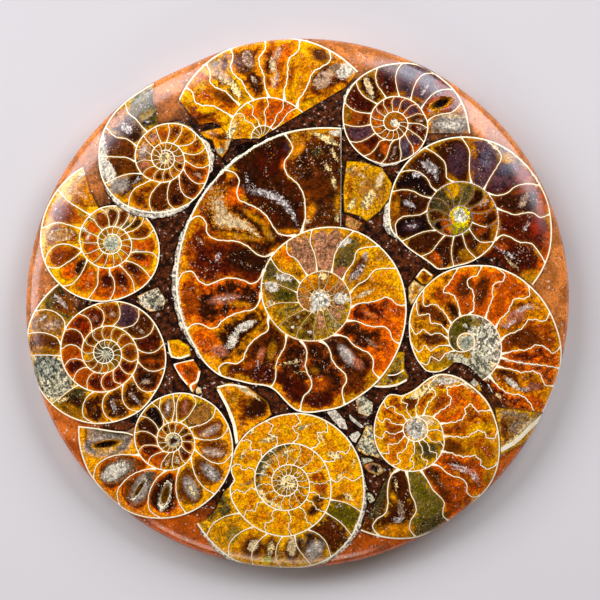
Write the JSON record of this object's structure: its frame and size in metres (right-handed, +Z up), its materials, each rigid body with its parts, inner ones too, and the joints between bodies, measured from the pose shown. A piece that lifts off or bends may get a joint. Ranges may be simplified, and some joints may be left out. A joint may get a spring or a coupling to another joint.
{
  "type": "ammonite cluster plate",
  "caption": "Round polished plate of sawn ammonites and broken crystal chips bedded in sandy reddish resin, domed at the edge and flat underneath.",
  "frame": {"origin": "middle of the box round the plate, on its flat underside", "axes": "+Z up through the polished top, +Y towards the plate's top edge as it is looked at, +X to its right"},
  "size_m": [0.2026, 0.1974, 0.016],
  "materials": {
    "sandy_resin": "ground and polished, with rust-red sand showing in it; duller on the side and underneath",
    "amber_calcite": "polished honey to orange crystal between cream septa, slightly wavy",
    "cognac_calcite": "polished dark cognac and red-brown crystal between cream septa",
    "cream_shell": "polished cream shell and white crystal",
    "olive_mudstone": "polished fine olive mudstone",
    "pyrite_crust": "grainy grey crust of small crystals, ground flat"
  },
  "bodies": {
    "root": {"ammonite_bottom": "amber_calcite", "ammonite_bottom_left": "amber_calcite", "ammonite_bottom_right": "amber_calcite", "ammonite_centre": "cognac_calcite", "ammonite_left": "amber_calcite", "ammonite_lower_left": "amber_calcite", "ammonite_right": "amber_calcite", "ammonite_top": "amber_calcite", "ammonite_top_right": "cognac_calcite", "ammonite_upper_left": "amber_calcite", "ammonite_upper_right": "cognac_calcite", "chip_brown": "cognac_calcite", "chip_glassy": "amber_calcite", "chip_green": "olive_mudstone", "chip_honey": "amber_calcite", "chip_pyrite": "pyrite_crust", "chip_white": "cream_shell", "chip_yellow": "amber_calcite", "fragment_cream": "cream_shell", "fragment_hook": "amber_calcite", "fragment_left_high": "amber_calcite", "fragment_left_low": "amber_calcite", "fragment_lower_left": "amber_calcite", "fragment_rim_right": "amber_calcite", "fragment_upper_left": "amber_calcite", "fragment_wedge": "amber_calcite", "matrix_plate": "sandy_resin", "patch_calcite": "cream_shell"}
  },
  "joints": []
}
